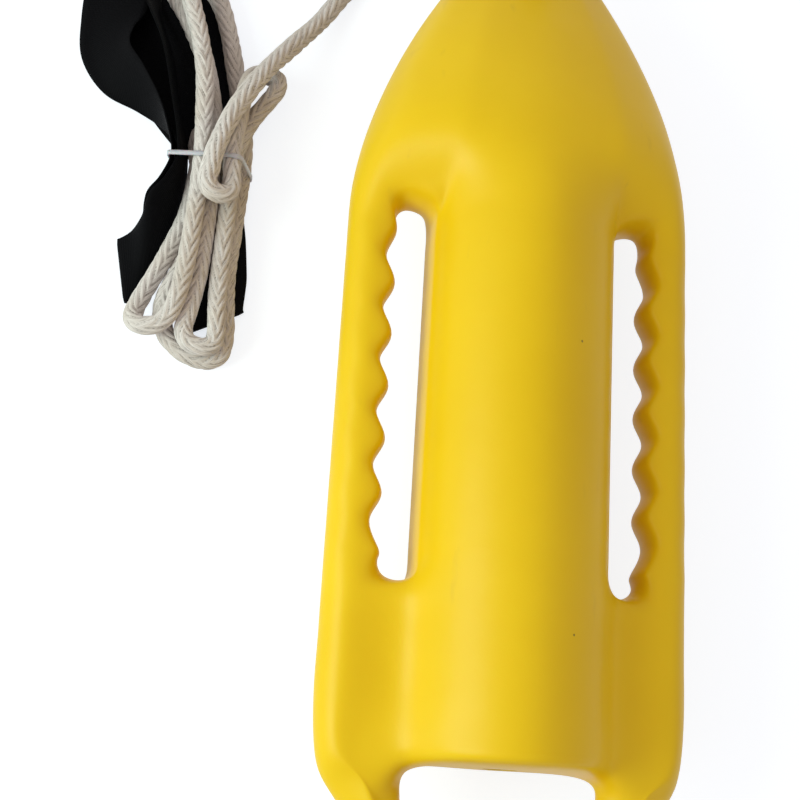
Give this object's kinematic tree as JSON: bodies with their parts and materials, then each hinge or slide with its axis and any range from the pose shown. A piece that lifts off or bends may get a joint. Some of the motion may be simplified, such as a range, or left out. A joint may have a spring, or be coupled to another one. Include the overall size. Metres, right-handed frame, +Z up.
{
  "type": "rescue can",
  "caption": "Torpedo-shaped rescue float with two finger-grooved side grips, a tail grip, a screw vent plug, a tow rope through its nose eye, and a hank of rope and webbing strap in a tie.",
  "frame": {"origin": "on the surface that the can lies on, under the middle of the can's length and width", "axes": "+Y towards the can's nose, +Z up, +X to its right; the loose rope and strap lie at its left"},
  "size_m": [0.4615, 0.752, 0.1521],
  "materials": {
    "moulded_yellow": "satin moulded polyethylene",
    "plug_black": "matt moulded nylon",
    "seal_rubber": "matt",
    "rope_fibre": "braided off-white fibre",
    "strap_webbing": "woven black webbing with a soft sheen",
    "tie_nylon": "milky natural nylon"
  },
  "bodies": {
    "can": {"can_shell": "moulded_yellow", "nose_knot": "rope_fibre", "tow_rope_lead": "rope_fibre", "rope_hank": "rope_fibre", "strap_knot": "rope_fibre", "shoulder_strap": "strap_webbing", "cable_tie": "tie_nylon"},
    "seal": {"plug_seal": "seal_rubber"},
    "plug": {"vent_plug": "plug_black"}
  },
  "joints": [
    {"name": "plug_slide", "type": "slide", "parent": "can", "child": "seal", "axis": [0, -1, 0], "range_m": [0, 0.0181]},
    {"name": "plug_turn", "type": "hinge", "parent": "seal", "child": "plug", "pos_m": [0, -0.288, 0.074], "axis": [0, -1, 0], "range_deg": [0, 1620]}
  ],
  "couplings": [
    {"joint": "plug_slide", "follows": "plug_turn", "m_per_rad": 0.00063662}
  ]
}
